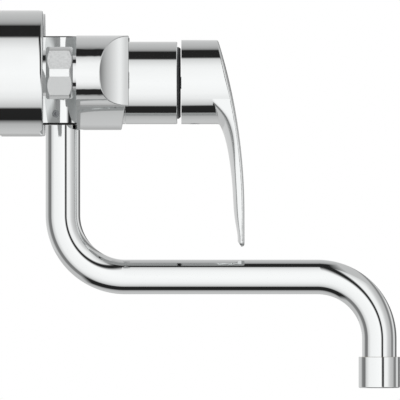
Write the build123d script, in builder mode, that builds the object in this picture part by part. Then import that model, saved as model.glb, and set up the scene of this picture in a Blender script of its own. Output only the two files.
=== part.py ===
from build123d import *

import os
from math import cos, radians, sin, sqrt

# Wall-mounted single-lever kitchen mixer tap with a swivel S-spout hanging below its body.
# Frame, in millimetres: the wall face is the plane X = 0 and the tap stands out along +X.
# +Z is up. The origin is midway between the two threads that screw into the wall.
# Hot is at -Y and cold at +Y, which is hot on the left for someone facing the tap.

# Clearances used all through the tap
RUNNING_GAP = 0.05
SEAT_GAP = 0.1
THREAD_GAP = 0.08

# A groove for a rubber ring is wider than it is deep by this much, and a cut runs this far past
# the face that it leaves
RING_GROOVE_RATIO = 1.4
OVERRUN = 1.0

# Inlets: the wall threads are a standard distance apart and the unions drop the tap below them
INLET_SPACING = 150.0
UNION_OFFSET = 8.0
WALL_THREAD_R = 10.48
WALL_THREAD_LENGTH = 17.0
WALL_BORE_R = 7.5
TAP_THREAD_R = 13.22
TAP_BORE_R = 9.5
UNION_COLLAR_LENGTH = 1.5
UNION_COLLAR_R = 12.2
UNION_CAM_LENGTH = 13.5

# Rosettes, one cup over each union
ROSETTE_R = 36.0
ROSETTE_DEPTH = 25.5
ROSETTE_WALL = 1.3
ROSETTE_EDGE = 1.6
ROSETTE_HOLE_GAP = 0.25

# Union nuts, hexagons with turned corners and a lip that pulls on the tail's collar
NUT_ACROSS_FLATS = 30.0
NUT_CORNER_R = 16.2
NUT_CHAMFER = 1.9
NUT_STANDOFF = 1.9
NUT_LENGTH = 15.4
NUT_LIP = 3.7

# Inlet tails, screwed into the back of the body, and their fibre washers
TAIL_R = 10.0
TAIL_WALL = 2.4
TAIL_COLLAR_WIDTH = 2.6
TAIL_COLLAR_LENGTH = 2.3
TAIL_SOCKET_DEPTH = 9.5
WASHER_THICKNESS = 2.0

# Bar of the body casting
BAR_STANDOFF = 2.0
BAR_END_BEYOND = 15.0
BAR_SIDE_DEPTH = 13.5
BAR_DEPTH = 30.2
BAR_CORNER_LENGTH = 30.0
BAR_CORNER_HOLLOW = 0.9
BAR_FRONT_HOLLOW = 4.5
BAR_RIDGE_R = 2.8
BAR_EDGE = 0.6
BAR_RISE = 21.7
BAR_DROP = 19.0
BAR_END_REACH = 31.0
BAR_END_FULLNESS_TOP = 0.56
BAR_END_FULLNESS_BOTTOM = 0.66
BELLY_DROP = 32.5
BELLY_HALF_LENGTH = 44.0
CHAMBER_WALL = 4.7
CHAMBER_DEPTH = 15.0
CHAMBER_HEIGHT = 28.0
CHAMBER_LIFT = 1.0
CHAMBER_CORNER = 6.0
CHAMBER_INNER_Y = 22.0
CHAMBER_END_WALL = 12.0
PASSAGE_R = 5.5
PASSAGE_DROP = 7.0
OUTLET_PASSAGE_R = 4.5

# Hub of the body casting, which carries the spout
HUB_R = 24.0
HUB_SET_BACK = 8.3
HUB_DROP = 29.6
HUB_EDGE = 1.2
SOCKET_RISE = 9.0

# Cartridge, 35 mm type, from its seat in the body forward
CARTRIDGE_DROP = 5.2
SEAT_DEPTH = 21.2
CARTRIDGE_R = 17.4
BASE_STANDOFF = 0.4
BASE_THICKNESS = 4.0
PORT_CIRCLE_R = 9.5
PORT_R = 3.5
PORT_SEAL_WIDTH = 2.2
PEG_CIRCLE_R = 13.5
PEG_R = 1.5
PEG_LENGTH = 2.5
DISC_THICKNESS = 3.6
FIXED_DISC_R = 13.6
MOVING_DISC_R = 11.2
MIXING_R = 5.9
MIXING_WIDTH = 7.0
MIXING_RIM = 1.5
MIXING_DEPTH = 1.5
CARRIER_THICKNESS = 4.9
CARRIER_R = 11.0
CARRIER_HALF_WIDTH = 8.5
CARRIER_FLOOR = 0.5
CARRIER_PEG_R = 1.0
CARRIER_PEG_Y = 6.5
CARRIER_PEG_LENGTH = 1.0
BALL_R = 2.7
BALL_PLAY = 0.15
BALL_REACH = 8.5
BALL_DEPTH = 1.1
LIFT_ANGLE = 25.0
PIVOT_PIN_R = 1.5
PIVOT_PIN_LENGTH = 22.0
ROTOR_LEG_LENGTH = 3.9
ROTOR_R = 13.5
ROTOR_NECK_R = 10.9
ROTOR_SHOULDER = 3.9
ROTOR_NECK_LENGTH = 3.7
ROTOR_SLOT_LOW = 6.8
ROTOR_SLOT_HIGH = 8.5
SPINDLE_WIDTH = 7.0
SPINDLE_SIDE_PLAY = 0.2
SPINDLE_NECK_R = 2.1
SPINDLE_CORNER = 0.6
SPINDLE_REACH = 28.0
HOUSING_STEP = 2.5
HOUSING_WALL = 1.1
HOUSING_LIP = 3.0

# Neck of the body casting and what is fitted over and into it
CARTRIDGE_BORE_GAP = 0.3
NUT_THREAD_STEP = 1.8
NUT_THREAD_LENGTH = 8.2
NUT_BORE_GAP = 0.2
NUT_OVER_HOUSING = 1.0
NUT_HEAD_LENGTH = 3.0
NUT_SLOTS = 6
NUT_SLOT_WIDTH = 4.0
NUT_SLOT_DEPTH = 2.2
NECK_WALL = 2.7
NECK_RING_GROOVE_DEPTH = 1.7
NECK_RING_SET_BACK = 12.0
SHROUD_FLANGE_LENGTH = 2.5
SHROUD_GAP = 0.3
SHROUD_WALL = 1.4
SHROUD_LIP_WIDTH = 1.5
SHROUD_LIP_LENGTH = 1.7
SHROUD_EDGE = 0.4
COVER_THICKNESS = 3.6
COVER_EDGE = 1.0
COVER_RIM_WIDTH = 5.4
COVER_SKIRT_LENGTH = 2.4
COVER_SKIRT_WALL = 0.8

# Lever: the round cap sits on the spindle and the curved blade hangs from it
LEVER_GAP = 0.4
CAP_OVERSIZE = 0.5
CAP_LIFT = 0.5
CAVITY_CLEARANCE = 0.4
CAVITY_R = 17.5
CAVITY_DEPTH = 18.0
BOSS_R = 7.4
BOSS_SET_IN = 3.0
RIB_WIDTH = 9.0
CAP_TOP_DEPTH = 21.2
BLADE_DEPTH = 36.6
BLADE_DROP = 95.0
BLADE_STRAIGHT_LENGTH = 20.0
BLADE_THICKNESS = 4.5
BLADE_ROOT_SET_BACK = 10.1
BLADE_ROOT_BULGE = 8.5
BLADE_SIDE_SLOPE = 9.4
BLADE_SIDE_INSET = 0.8
BLADE_TIP_BEVEL = 3.9
BLADE_TIP_BEVEL_DEPTH = 2.7
BLADE_TIP_CORNER = 4.0
BLADE_CROWN_R = 400.0
LEVER_EDGE = 1.6
GRUB_SET_IN = 7.5
GRUB_R = 2.5
GRUB_LENGTH = 6.0
GRUB_KEY_ACROSS_FLATS = 2.5
GRUB_KEY_DEPTH = 2.5
PLUG_R = 3.4
PLUG_LENGTH = 3.0

# Spout, a bent tube with a brass sleeve at the top
OUTLET_REACH = 220.0
SPOUT_DROP = 117.7
TUBE_R = 10.0
TUBE_WALL = 1.0
TUBE_BEND_R = 36.0
SLEEVE_WALL = 2.25
SLEEVE_SET_IN = 0.3
SLEEVE_LENGTH = 28.0
TUBE_STOP = 1.0
SPOUT_RING_GROOVE_DEPTH = 1.4
UPPER_RING_LEVEL = 8.0
LOWER_RING_LEVEL = 16.5
UPPER_GLIDE_LEVEL = 1.4
LOWER_GLIDE_LEVEL = 26.6
GLIDE_HEIGHT = 1.8
GLIDE_DEPTH = 1.0
KEEPER_LEVEL = 21.9
KEEPER_ANGLE = 9.4
KEEPER_R = 2.0
KEEPER_TIP_R = 1.2
KEEPER_TIP_LENGTH = 1.4
KEEPER_SINK = 0.8
KEEPER_KEY_ACROSS_FLATS = 2.0
KEEPER_KEY_DEPTH = 2.0
KEEPER_GROOVE_DEPTH = 1.0
KEEPER_GROOVE_HEIGHT = 3.2

# Outlet with its screwed-on aerator
OUTLET_DROP = 46.4
NIPPLE_STEP = 0.95
NIPPLE_THREAD_LENGTH = 7.0
NIPPLE_SPIGOT_LENGTH = 6.0
NIPPLE_SPIGOT_WALL = 1.3
AERATOR_WALL = 0.97
AERATOR_HEIGHT = 18.0
AERATOR_LIP_WIDTH = 1.7
AERATOR_LIP_HEIGHT = 1.6
AERATOR_EDGE = 0.5
AERATOR_WASHER_THICKNESS = 1.6
AERATOR_WASHER_WIDTH = 2.4
SCREEN_THICKNESS = 0.6
SCREEN_PITCH = 3.0
SCREEN_HOLE = 1.8
INSERT_WALL = 1.2
INSERT_GAP = 0.2
INSERT_FLOOR = 2.4
OUTLET_HOLE_R = 0.9
OUTLET_HOLE_PITCH = 2.7

# Heights and places that follow from those sizes
INLET_Z = -UNION_OFFSET
AXIS_Z = INLET_Z - CARTRIDGE_DROP
SIDES = {"hot": -1, "cold": 1}
TAIL_BORE_R = TAIL_R - TAIL_WALL
NUT_X = ROSETTE_DEPTH + NUT_STANDOFF
NUT_LIP_X = NUT_X + NUT_LENGTH - NUT_LIP
COLLAR_X = NUT_LIP_X - SEAT_GAP - TAIL_COLLAR_LENGTH
COLLAR_R = TAIL_R + TAIL_COLLAR_WIDTH
UNION_FRONT_X = COLLAR_X - WASHER_THICKNESS
BAR_X = NUT_X + NUT_LENGTH + BAR_STANDOFF
SWIVEL_X = BAR_X - HUB_SET_BACK
SEAT_X = BAR_X + SEAT_DEPTH
BASE_X = SEAT_X + BASE_STANDOFF
FIXED_DISC_X = BASE_X + BASE_THICKNESS
MOVING_DISC_X = FIXED_DISC_X + DISC_THICKNESS + RUNNING_GAP
CARRIER_X = MOVING_DISC_X + DISC_THICKNESS + RUNNING_GAP
ROTOR_X = CARRIER_X + CARRIER_THICKNESS + SEAT_GAP
PIVOT_X = CARRIER_X + CARRIER_THICKNESS - BALL_DEPTH + BALL_REACH
HOUSING_LIP_X = PIVOT_X + ROTOR_SHOULDER + SEAT_GAP
HOUSING_FRONT_X = HOUSING_LIP_X + HOUSING_LIP
NUT_THREAD_X = HOUSING_FRONT_X - NUT_THREAD_LENGTH + NUT_OVER_HOUSING
NECK_FRONT_X = NUT_THREAD_X + NUT_THREAD_LENGTH
HEAD_FRONT_X = NECK_FRONT_X + SEAT_GAP + NUT_HEAD_LENGTH
COVER_X = HEAD_FRONT_X + SEAT_GAP
COVER_FRONT_X = COVER_X + COVER_THICKNESS
SHROUD_X = BAR_X + BAR_DEPTH - SHROUD_FLANGE_LENGTH
SHROUD_FRONT_X = HEAD_FRONT_X + SHROUD_LIP_LENGTH
CAP_X = COVER_FRONT_X + LEVER_GAP
HALF_TRAVEL = BALL_REACH * sin(radians(LIFT_ANGLE)) / 2
DISC_Z = AXIS_Z + HALF_TRAVEL
CARTRIDGE_BORE_R = CARTRIDGE_R + CARTRIDGE_BORE_GAP
NUT_THREAD_R = CARTRIDGE_BORE_R + NUT_THREAD_STEP
NECK_R = NUT_THREAD_R + NECK_WALL
SHROUD_BORE_R = NECK_R + SHROUD_GAP
SHROUD_R = SHROUD_BORE_R + SHROUD_WALL
COVER_R = SHROUD_BORE_R - SHROUD_LIP_WIDTH - 2 * SEAT_GAP
CAP_R = SHROUD_R + CAP_OVERSIZE
SLEEVE_R = TUBE_R + RUNNING_GAP + SLEEVE_WALL
SOCKET_R = SLEEVE_R + RUNNING_GAP
HUB_BOTTOM_Z = INLET_Z - HUB_DROP
SLEEVE_Z = HUB_BOTTOM_Z + SLEEVE_SET_IN
OUTLET_Z = INLET_Z - SPOUT_DROP - OUTLET_DROP


def on_circle(angle, radius):
    """Place (y, z) at an angle from +Y on a circle round the cartridge axis."""
    return (radius * cos(radians(angle)), AXIS_Z + radius * sin(radians(angle)))


def turned_x(stations, y, z, mode=Mode.ADD):
    """A turned shape about the line along X through (y, z), from its (x, radius) stations."""
    plane = Plane(origin=(0, y, z), x_dir=(1, 0, 0), z_dir=(0, -1, 0))
    with BuildSketch(plane) as half:
        with BuildLine():
            Polyline((stations[0][0], 0), *stations, (stations[-1][0], 0), close=True)
        make_face()
    revolve(half.sketch, axis=Axis((0, y, z), (1, 0, 0)), mode=mode)


def turned_z(stations, x, mode=Mode.ADD):
    """A turned shape about the vertical line through (x, 0), from its (z, radius) stations."""
    plane = Plane(origin=(x, 0, 0), x_dir=(0, 0, 1), z_dir=(0, 1, 0))
    with BuildSketch(plane) as half:
        with BuildLine():
            Polyline((stations[0][0], 0), *stations, (stations[-1][0], 0), close=True)
        make_face()
    revolve(half.sketch, axis=Axis((x, 0, 0), (0, 0, 1)), mode=mode)


def bore_x(x0, x1, radius, y, z):
    """A straight hole along X."""
    turned_x([(x0, radius), (x1, radius)], y, z, mode=Mode.SUBTRACT)


def bore_z(z0, z1, radius, x):
    """A straight vertical hole through (x, 0)."""
    turned_z([(z0, radius), (z1, radius)], x, mode=Mode.SUBTRACT)


def ring_x(section_r, inner_r, x, y, z):
    """A round ring about a line along X, whose hole has the radius inner_r."""
    with BuildSketch(Plane(origin=(0, y, z), x_dir=(1, 0, 0), z_dir=(0, -1, 0))) as wire:
        with Locations((x, inner_r + section_r)):
            Circle(section_r)
    revolve(wire.sketch, axis=Axis((0, y, z), (1, 0, 0)))


def ring_z(section_r, inner_r, z):
    """A round ring about the spout's swivel axis, whose hole has the radius inner_r."""
    with BuildSketch(Plane(origin=(SWIVEL_X, 0, 0), x_dir=(1, 0, 0), z_dir=(0, -1, 0))) as wire:
        with Locations((inner_r + section_r, z)):
            Circle(section_r)
    revolve(wire.sketch, axis=Axis((SWIVEL_X, 0, 0), (0, 0, 1)))


def save(part, name):
    """Writes a finished piece as parts/name.step."""
    part.label = name
    export_step(part, f"parts/{name}.step")


os.makedirs("parts", exist_ok=True)

# Wall unions, rosettes, washers, tails and union nuts, one of each on either side
for side, sign in SIDES.items():
    y = sign * INLET_SPACING / 2

    with BuildPart() as wall_union:
        turned_x([(-WALL_THREAD_LENGTH, WALL_THREAD_R), (0, WALL_THREAD_R)], y, 0)
        turned_x([(0, UNION_COLLAR_R), (UNION_COLLAR_LENGTH, UNION_COLLAR_R)], y, 0)
        with BuildSketch(Plane.YZ.offset(UNION_COLLAR_LENGTH)):
            with Locations((y, 0)):
                Circle(UNION_COLLAR_R)
        with BuildSketch(Plane.YZ.offset(UNION_COLLAR_LENGTH + UNION_CAM_LENGTH)):
            with Locations((y, INLET_Z)):
                Circle(TAP_THREAD_R)
        loft()
        cam_front_x = UNION_COLLAR_LENGTH + UNION_CAM_LENGTH
        turned_x([(cam_front_x, TAP_THREAD_R), (UNION_FRONT_X, TAP_THREAD_R)], y, INLET_Z)
        bore_x(-WALL_THREAD_LENGTH, cam_front_x / 2, WALL_BORE_R, y, 0)
        bore_x(cam_front_x / 2, UNION_FRONT_X, TAP_BORE_R, y, INLET_Z)
    save(wall_union.part, f"{side}_wall_union")

    with BuildPart() as rosette:
        edge_x = ROSETTE_DEPTH - ROSETTE_EDGE
        edge_r = ROSETTE_R - ROSETTE_EDGE
        turned_x([(0, ROSETTE_R), (edge_x, ROSETTE_R), (ROSETTE_DEPTH, edge_r)], y, INLET_Z)
        inner_x = ROSETTE_DEPTH - ROSETTE_WALL
        inner_r = ROSETTE_R - ROSETTE_WALL
        inner_edge_x = edge_x - ROSETTE_WALL / 2
        inner_edge_r = edge_r - ROSETTE_WALL / 2
        hollow = [(0, inner_r), (inner_edge_x, inner_r), (inner_x, inner_edge_r)]
        turned_x(hollow, y, INLET_Z, mode=Mode.SUBTRACT)
        bore_x(0, ROSETTE_DEPTH, TAP_THREAD_R + ROSETTE_HOLE_GAP, y, INLET_Z)
    save(rosette.part, f"{side}_rosette")

    with BuildPart() as washer:
        turned_x([(UNION_FRONT_X, COLLAR_R), (COLLAR_X, COLLAR_R)], y, INLET_Z)
        bore_x(UNION_FRONT_X, COLLAR_X, TAIL_BORE_R, y, INLET_Z)
    save(washer.part, f"{side}_washer")

    with BuildPart() as tail:
        turned_x([(COLLAR_X, COLLAR_R), (COLLAR_X + TAIL_COLLAR_LENGTH, COLLAR_R)], y, INLET_Z)
        turned_x([(COLLAR_X, TAIL_R), (BAR_X + TAIL_SOCKET_DEPTH, TAIL_R)], y, INLET_Z)
        bore_x(COLLAR_X, BAR_X + TAIL_SOCKET_DEPTH, TAIL_BORE_R, y, INLET_Z)
    save(tail.part, f"{side}_inlet_tail")

    with BuildPart() as nut:
        with BuildSketch(Plane.YZ.offset(NUT_X)):
            with Locations((y, INLET_Z)):
                RegularPolygon(NUT_ACROSS_FLATS / 2, 6, major_radius=False)
        extrude(amount=NUT_LENGTH)
        turned = [
            (NUT_X, NUT_CORNER_R - NUT_CHAMFER),
            (NUT_X + NUT_CHAMFER, NUT_CORNER_R),
            (NUT_X + NUT_LENGTH - NUT_CHAMFER, NUT_CORNER_R),
            (NUT_X + NUT_LENGTH, NUT_CORNER_R - NUT_CHAMFER),
        ]
        turned_x(turned, y, INLET_Z, mode=Mode.INTERSECT)
        bore_x(NUT_X, NUT_LIP_X, TAP_THREAD_R + THREAD_GAP, y, INLET_Z)
        bore_x(NUT_LIP_X, NUT_X + NUT_LENGTH, TAIL_R + THREAD_GAP, y, INLET_Z)
    save(nut.part, f"{side}_union_nut")

# Body casting. The bar is its outline from the front and its outline from above, both
# pulled through. The hub stands behind it and the cartridge neck in front.
END_Y = INLET_SPACING / 2 + BAR_END_BEYOND
FLAT_Y = END_Y - BAR_END_REACH
PEAK_Y = END_Y - BAR_CORNER_LENGTH
PEAK_X = BAR_X + BAR_DEPTH
SIDE_X = BAR_X + BAR_SIDE_DEPTH
TOP_Z = INLET_Z + BAR_RISE
BOTTOM_Z = INLET_Z - BAR_DROP
BELLY_Z = INLET_Z - BELLY_DROP
PORT_ANGLES = {"outlet": 90, "hot": 210, "cold": 330}
PEG_ANGLES = [30, 150]
CARTRIDGE_PORTS = {port: on_circle(angle, PORT_CIRCLE_R) for port, angle in PORT_ANGLES.items()}
BASE_PEGS = [on_circle(angle, PEG_CIRCLE_R) for angle in PEG_ANGLES]
KEEPER_DIRECTION = (-sin(radians(KEEPER_ANGLE)), -cos(radians(KEEPER_ANGLE)), 0)
KEEPER_AXIS = Plane(origin=(SWIVEL_X, 0, SLEEVE_Z + SLEEVE_LENGTH - KEEPER_LEVEL), z_dir=KEEPER_DIRECTION)


def end_curve(sign, height, fullness):
    """One quarter of the bar's rounded end, from its nose to its top or bottom."""
    Bezier(
        (sign * END_Y, INLET_Z),
        (sign * END_Y, INLET_Z + fullness * height),
        (sign * (FLAT_Y + fullness * BAR_END_REACH), INLET_Z + height),
        (sign * FLAT_Y, INLET_Z + height),
    )


with BuildPart() as body:
    with BuildSketch(Plane.YZ.offset(BAR_X)):
        with BuildLine():
            for sign in (-1, 1):
                end_curve(sign, BAR_RISE, BAR_END_FULLNESS_TOP)
                end_curve(sign, -BAR_DROP, BAR_END_FULLNESS_BOTTOM)
                Line((sign * FLAT_Y, BOTTOM_Z), (sign * BELLY_HALF_LENGTH, BOTTOM_Z))
            Line((-FLAT_Y, TOP_Z), (FLAT_Y, TOP_Z))
            belly_ends = [(-BELLY_HALF_LENGTH, BOTTOM_Z), (BELLY_HALF_LENGTH, BOTTOM_Z)]
            ThreePointArc(belly_ends[0], (0, BELLY_Z), belly_ends[1])
        make_face()
    extrude(amount=2 * BAR_DEPTH)
    with BuildSketch(Plane.XY.offset(INLET_Z - 2 * BELLY_DROP)) as outline_from_above:
        with BuildLine():
            for sign in (-1, 1):
                side = Line((BAR_X, sign * END_Y), (SIDE_X, sign * END_Y))
                peak = (PEAK_X, sign * PEAK_Y)
                hollow = BAR_CORNER_HOLLOW / sqrt(2)
                middle = ((SIDE_X + PEAK_X) / 2 - hollow, sign * ((END_Y + PEAK_Y) / 2 - hollow))
                ThreePointArc(side @ 1, middle, peak)
            Line((BAR_X, -END_Y), (BAR_X, END_Y))
            ThreePointArc((PEAK_X, -PEAK_Y), (PEAK_X - BAR_FRONT_HOLLOW, 0), (PEAK_X, PEAK_Y))
        make_face()
        ridges = [v for v in outline_from_above.vertices() if v.X > PEAK_X - BAR_EDGE]
        fillet(ridges, BAR_RIDGE_R)
    extrude(amount=4 * BELLY_DROP, mode=Mode.INTERSECT)
    fillet([e for e in body.edges() if e.center().X > BAR_X + BAR_EDGE], BAR_EDGE)
    hub_bottom = [(HUB_BOTTOM_Z, HUB_R - HUB_EDGE), (HUB_BOTTOM_Z + HUB_EDGE, HUB_R)]
    hub_top = [(TOP_Z - BAR_EDGE, HUB_R), (TOP_Z, HUB_R - BAR_EDGE)]
    turned_z([*hub_bottom, *hub_top], SWIVEL_X)
    turned_x([(SEAT_X, SHROUD_R), (SHROUD_X, SHROUD_R)], 0, AXIS_Z)
    turned_x([(SEAT_X, NECK_R), (NECK_FRONT_X, NECK_R)], 0, AXIS_Z)
    bore_x(SEAT_X, NECK_FRONT_X, CARTRIDGE_BORE_R, 0, AXIS_Z)
    bore_x(NUT_THREAD_X, NECK_FRONT_X, NUT_THREAD_R, 0, AXIS_Z)
    # groove for the shroud's ring
    neck_ring_x = NECK_FRONT_X - NECK_RING_SET_BACK
    with BuildSketch(Plane.XZ):
        with Locations((neck_ring_x, AXIS_Z + NECK_R)):
            Rectangle(RING_GROOVE_RATIO * NECK_RING_GROOVE_DEPTH, 2 * NECK_RING_GROOVE_DEPTH)
    revolve(axis=Axis((0, 0, AXIS_Z), (1, 0, 0)), mode=Mode.SUBTRACT)
    # spout socket and the passage that feeds it
    bore_z(BELLY_Z, INLET_Z + SOCKET_RISE, SOCKET_R, SWIVEL_X)
    bore_x(SWIVEL_X, SEAT_X, OUTLET_PASSAGE_R, *CARTRIDGE_PORTS["outlet"])
    # water ways from each tail to its port: tail socket, cross passage, chamber and port
    passage_x = BAR_X + TAIL_SOCKET_DEPTH + SEAT_GAP
    for side, sign in SIDES.items():
        y = sign * INLET_SPACING / 2
        port_y, port_z = CARTRIDGE_PORTS[side]
        bore_x(BAR_X, passage_x, TAIL_R + THREAD_GAP, y, INLET_Z)
        bore_x(passage_x, passage_x + PASSAGE_R, TAIL_BORE_R, y, INLET_Z)
        with BuildSketch(Plane.XZ.offset(-port_y)):
            with Locations((passage_x, INLET_Z - PASSAGE_DROP)):
                Circle(PASSAGE_R)
        extrude(amount=port_y - y, mode=Mode.SUBTRACT)
        bore_x(passage_x, SEAT_X, PORT_R, port_y, port_z)
        with BuildSketch(Plane.XZ.offset(-sign * CHAMBER_INNER_Y)):
            with Locations((BAR_X + CHAMBER_WALL + CHAMBER_DEPTH / 2, INLET_Z + CHAMBER_LIFT)):
                RectangleRounded(CHAMBER_DEPTH, CHAMBER_HEIGHT, CHAMBER_CORNER)
        chamber_length = INLET_SPACING / 2 - CHAMBER_END_WALL - CHAMBER_INNER_Y
        extrude(amount=-sign * chamber_length, mode=Mode.SUBTRACT)
    for peg in BASE_PEGS:
        bore_x(SEAT_X - PEG_LENGTH - SEAT_GAP, SEAT_X, PEG_R + SEAT_GAP, *peg)
    # threaded hole for the keeper screw
    with BuildSketch(KEEPER_AXIS.offset(SLEEVE_R - KEEPER_GROOVE_DEPTH)):
        Circle(KEEPER_R + THREAD_GAP)
    extrude(amount=HUB_R, mode=Mode.SUBTRACT)
save(body.part, "body_casting")

with BuildPart() as shroud:
    rim = [(SHROUD_FRONT_X - SHROUD_EDGE, SHROUD_R), (SHROUD_FRONT_X, SHROUD_R - SHROUD_EDGE)]
    turned_x([(SHROUD_X + SEAT_GAP, SHROUD_R), *rim], 0, AXIS_Z)
    bore_x(SHROUD_X, SHROUD_FRONT_X - SHROUD_LIP_LENGTH, SHROUD_BORE_R, 0, AXIS_Z)
    bore_x(SHROUD_X, SHROUD_FRONT_X, SHROUD_BORE_R - SHROUD_LIP_WIDTH, 0, AXIS_Z)
save(shroud.part, "shroud")

with BuildPart() as shroud_ring:
    groove_r = NECK_R - NECK_RING_GROOVE_DEPTH
    ring_x((SHROUD_BORE_R - RUNNING_GAP - groove_r) / 2, groove_r, neck_ring_x, 0, AXIS_Z)
save(shroud_ring.part, "shroud_o_ring")

with BuildPart() as cartridge_nut:
    head_x = NECK_FRONT_X + SEAT_GAP
    head_r = COVER_R - SEAT_GAP
    thread_r = NUT_THREAD_R - THREAD_GAP
    housing_r = CARTRIDGE_R - HOUSING_STEP
    turned_x([(NUT_THREAD_X + SEAT_GAP, thread_r), (head_x, thread_r)], 0, AXIS_Z)
    turned_x([(head_x, head_r), (HEAD_FRONT_X, head_r)], 0, AXIS_Z)
    bore_x(NUT_THREAD_X, HEAD_FRONT_X, housing_r + NUT_BORE_GAP, 0, AXIS_Z)
    with BuildSketch(Plane.YZ.offset(HEAD_FRONT_X)):
        with Locations((0, AXIS_Z)):
            with PolarLocations(head_r, NUT_SLOTS):
                Rectangle(2 * NUT_SLOT_DEPTH, NUT_SLOT_WIDTH)
    extrude(amount=-NUT_SLOT_DEPTH, mode=Mode.SUBTRACT)
save(cartridge_nut.part, "cartridge_nut")

with BuildPart() as cover_ring:
    edge = [(COVER_FRONT_X - COVER_EDGE, COVER_R), (COVER_FRONT_X, COVER_R - COVER_EDGE)]
    skirt_r = housing_r + NUT_BORE_GAP - SEAT_GAP
    turned_x([(COVER_X, COVER_R), *edge], 0, AXIS_Z)
    turned_x([(COVER_X - COVER_SKIRT_LENGTH, skirt_r), (COVER_X, skirt_r)], 0, AXIS_Z)
    skirt_front_x = COVER_X + COVER_THICKNESS / 2
    bore_x(COVER_X - COVER_SKIRT_LENGTH, skirt_front_x, skirt_r - COVER_SKIRT_WALL, 0, AXIS_Z)
    bore_x(skirt_front_x, COVER_FRONT_X, COVER_R - COVER_RIM_WIDTH, 0, AXIS_Z)
save(cover_ring.part, "cover_ring")

# Cartridge
with BuildPart() as cartridge_base:
    turned_x([(BASE_X, CARTRIDGE_R), (FIXED_DISC_X, CARTRIDGE_R)], 0, AXIS_Z)
    for port in CARTRIDGE_PORTS.values():
        pocket_r = PORT_R + SEAT_GAP + PORT_SEAL_WIDTH + SEAT_GAP
        bore_x(BASE_X, SEAT_X + PORT_SEAL_WIDTH + RUNNING_GAP, pocket_r, *port)
        bore_x(BASE_X, FIXED_DISC_X, PORT_R, *port)
    for peg in BASE_PEGS:
        turned_x([(SEAT_X - PEG_LENGTH, PEG_R), (BASE_X + PEG_R, PEG_R)], *peg)
save(cartridge_base.part, "cartridge_base")

with BuildPart() as port_seals:
    for port in CARTRIDGE_PORTS.values():
        ring_x(PORT_SEAL_WIDTH / 2, PORT_R + SEAT_GAP, SEAT_X + PORT_SEAL_WIDTH / 2, *port)
save(port_seals.part, "port_seals")

with BuildPart() as housing:
    housing_x = FIXED_DISC_X + RUNNING_GAP
    step_x = NUT_THREAD_X
    turned_x([(housing_x, CARTRIDGE_R), (step_x, CARTRIDGE_R)], 0, AXIS_Z)
    turned_x([(step_x, housing_r), (HOUSING_FRONT_X, housing_r)], 0, AXIS_Z)
    bore_x(housing_x, HOUSING_LIP_X, housing_r - HOUSING_WALL, 0, AXIS_Z)
    bore_x(HOUSING_LIP_X, HOUSING_FRONT_X, ROTOR_NECK_R + 2 * SEAT_GAP, 0, AXIS_Z)
save(housing.part, "cartridge_housing")

with BuildPart() as fixed_disc:
    disc_x = FIXED_DISC_X + DISC_THICKNESS
    turned_x([(FIXED_DISC_X, FIXED_DISC_R), (disc_x, FIXED_DISC_R)], 0, AXIS_Z)
    for port in CARTRIDGE_PORTS.values():
        bore_x(FIXED_DISC_X, disc_x, PORT_R - SEAT_GAP, *port)
save(fixed_disc.part, "fixed_ceramic_disc")

with BuildPart() as moving_disc:
    disc_x = MOVING_DISC_X + DISC_THICKNESS
    turned_x([(MOVING_DISC_X, MOVING_DISC_R), (disc_x, MOVING_DISC_R)], 0, DISC_Z)
    mixing_top_z = DISC_Z + MOVING_DISC_R - MIXING_RIM
    with BuildSketch(Plane.YZ.offset(MOVING_DISC_X)):
        with Locations((0, DISC_Z - HALF_TRAVEL)):
            Circle(MIXING_R)
        with Locations((0, mixing_top_z - MIXING_R)):
            SlotOverall(2 * MIXING_R, MIXING_WIDTH, rotation=90)
    extrude(amount=MIXING_DEPTH, mode=Mode.SUBTRACT)
    for sign in (-1, 1):
        bore_x(disc_x - CARRIER_PEG_LENGTH, disc_x, CARRIER_PEG_R + SEAT_GAP, sign * CARRIER_PEG_Y, DISC_Z)
save(moving_disc.part, "moving_ceramic_disc")

with BuildPart() as carrier:
    with BuildSketch(Plane.YZ.offset(CARRIER_X)):
        with Locations((0, DISC_Z)):
            Circle(CARRIER_R)
            Rectangle(2 * CARRIER_HALF_WIDTH, 2 * CARRIER_R, mode=Mode.INTERSECT)
    extrude(amount=CARRIER_THICKNESS)
    with BuildSketch(Plane.YZ.offset(CARRIER_X + CARRIER_FLOOR)):
        with Locations((0, AXIS_Z)):
            Rectangle(2 * (BALL_R + BALL_PLAY), 2 * (BALL_R + BALL_PLAY))
    extrude(amount=CARRIER_THICKNESS, mode=Mode.SUBTRACT)
    peg_x = CARRIER_X - CARRIER_PEG_LENGTH
    for sign in (-1, 1):
        turned_x([(peg_x, CARRIER_PEG_R), (CARRIER_X, CARRIER_PEG_R)], sign * CARRIER_PEG_Y, DISC_Z)
save(carrier.part, "disc_carrier")

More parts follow.
